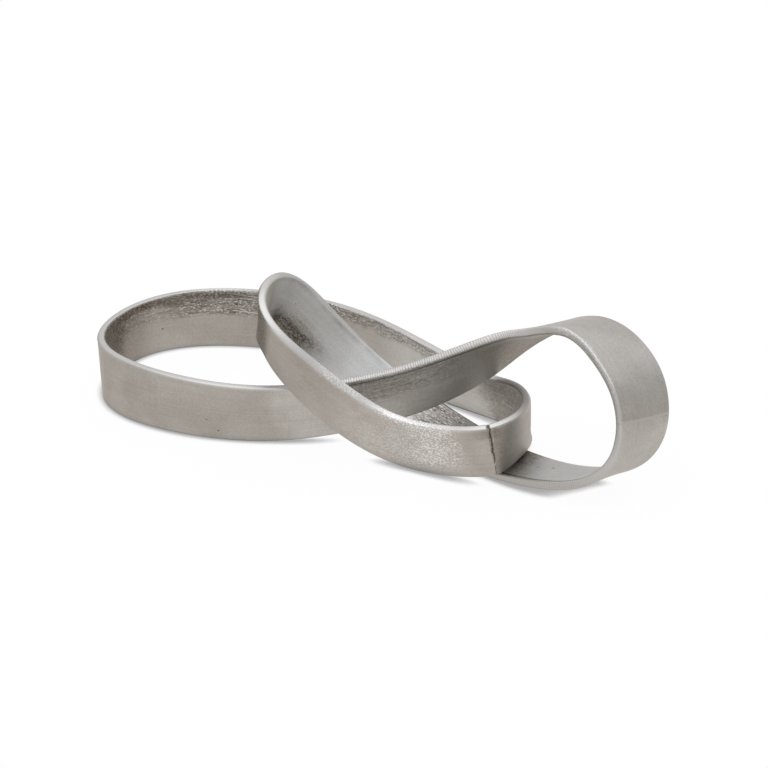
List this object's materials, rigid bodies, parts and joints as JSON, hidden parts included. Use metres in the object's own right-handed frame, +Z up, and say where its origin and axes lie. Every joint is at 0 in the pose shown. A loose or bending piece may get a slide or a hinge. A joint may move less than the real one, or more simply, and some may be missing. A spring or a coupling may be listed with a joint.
{
  "type": "metal knot sculpture",
  "caption": "Flat cast-metal band tied into a closed loose knot with no ends, standing free on a table as an ornament.",
  "frame": {"origin": "on the table top, below the middle of the knot's outer box", "axes": "+X along the knot towards the standing loop, +Y away from the viewer, +Z up"},
  "size_m": [0.4064, 0.162, 0.1063],
  "materials": {
    "cast_band": "satin, sand-cast and brushed along the band",
    "weld_metal": "satin, dressed flush; the one by the curl left rough"
  },
  "bodies": {
    "root": {"front_rail": "cast_band", "crossing_strap": "cast_band", "right_bend_upper": "cast_band", "right_bend_lower": "cast_band", "foot_strap": "cast_band", "rising_strap": "cast_band", "middle_bend": "cast_band", "front_strap": "cast_band", "end_curl": "cast_band", "back_rail": "cast_band", "left_bend": "cast_band", "weld_after_front_rail": "weld_metal", "weld_after_crossing_strap": "weld_metal", "weld_after_right_bend_upper": "weld_metal", "weld_after_right_bend_lower": "weld_metal", "weld_after_foot_strap": "weld_metal", "weld_after_rising_strap": "weld_metal", "weld_after_middle_bend": "weld_metal", "weld_after_front_strap": "weld_metal", "weld_after_end_curl": "weld_metal", "weld_after_back_rail": "weld_metal", "weld_after_left_bend": "weld_metal"}
  },
  "joints": []
}
